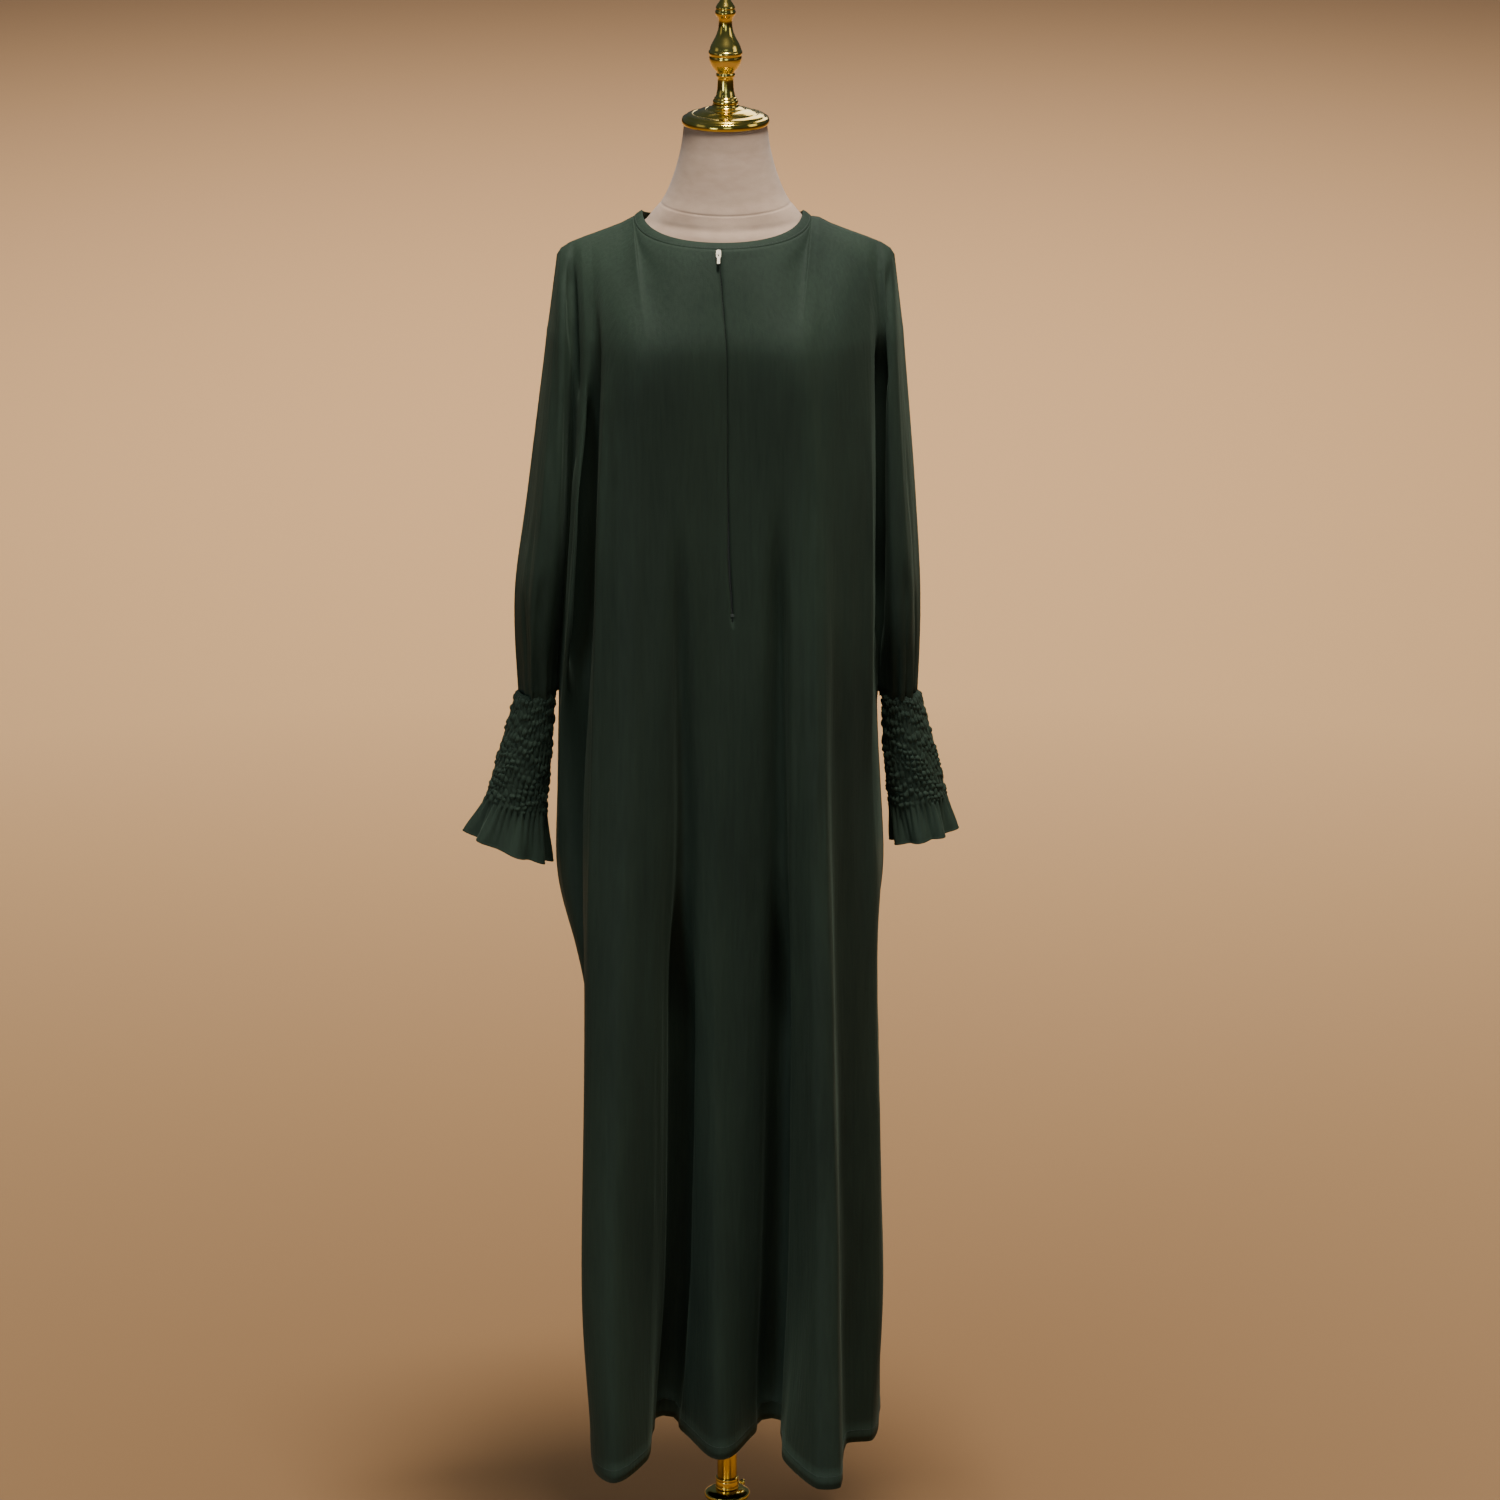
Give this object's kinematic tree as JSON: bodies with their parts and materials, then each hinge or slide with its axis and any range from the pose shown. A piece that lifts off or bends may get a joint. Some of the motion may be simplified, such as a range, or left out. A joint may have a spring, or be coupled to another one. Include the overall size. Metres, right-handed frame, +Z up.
{
  "type": "jilbab dress on limbless dress form",
  "caption": "Loose full-length batwing jilbab dress with bound neck, hidden front zip and smocked ruffled cuffs, on a limbless dress form with metal finial, pole and round base.",
  "frame": {"origin": "centre of the stand's underside, on the floor", "axes": "+Z up along the pole, the front of the dress faces -Y, +X to the viewer's right"},
  "size_m": [0.5686, 0.3552, 1.8755],
  "materials": {
    "crepe": "dark green crepe with a soft matte sheen",
    "zip_cloth": "matte woven tape",
    "zip_metal": "light satin metal",
    "form_cover": "matte off-white jersey cover",
    "gold_metal": "polished gold-coloured metal"
  },
  "bodies": {
    "dress_on_form": {"front_panel": "crepe", "back_panel": "crepe", "neck_binding": "crepe", "cuff_left": "crepe", "cuff_right": "crepe", "zip_tape": "zip_cloth", "zip_slider": "zip_metal", "form_body": "form_cover", "neck_cap": "gold_metal", "finial": "gold_metal", "pole": "gold_metal", "pole_collar": "gold_metal", "collar_knob": "gold_metal", "stand_base": "gold_metal"},
    "pull_tab": {"zip_pull": "zip_metal"}
  },
  "joints": [
    {"name": "pull_tab_swing", "type": "hinge", "parent": "dress_on_form", "child": "pull_tab", "pos_m": [-0.00741, -0.10035, 1.60785], "axis": [-1, 0, 0], "range_deg": [0, 150]}
  ]
}
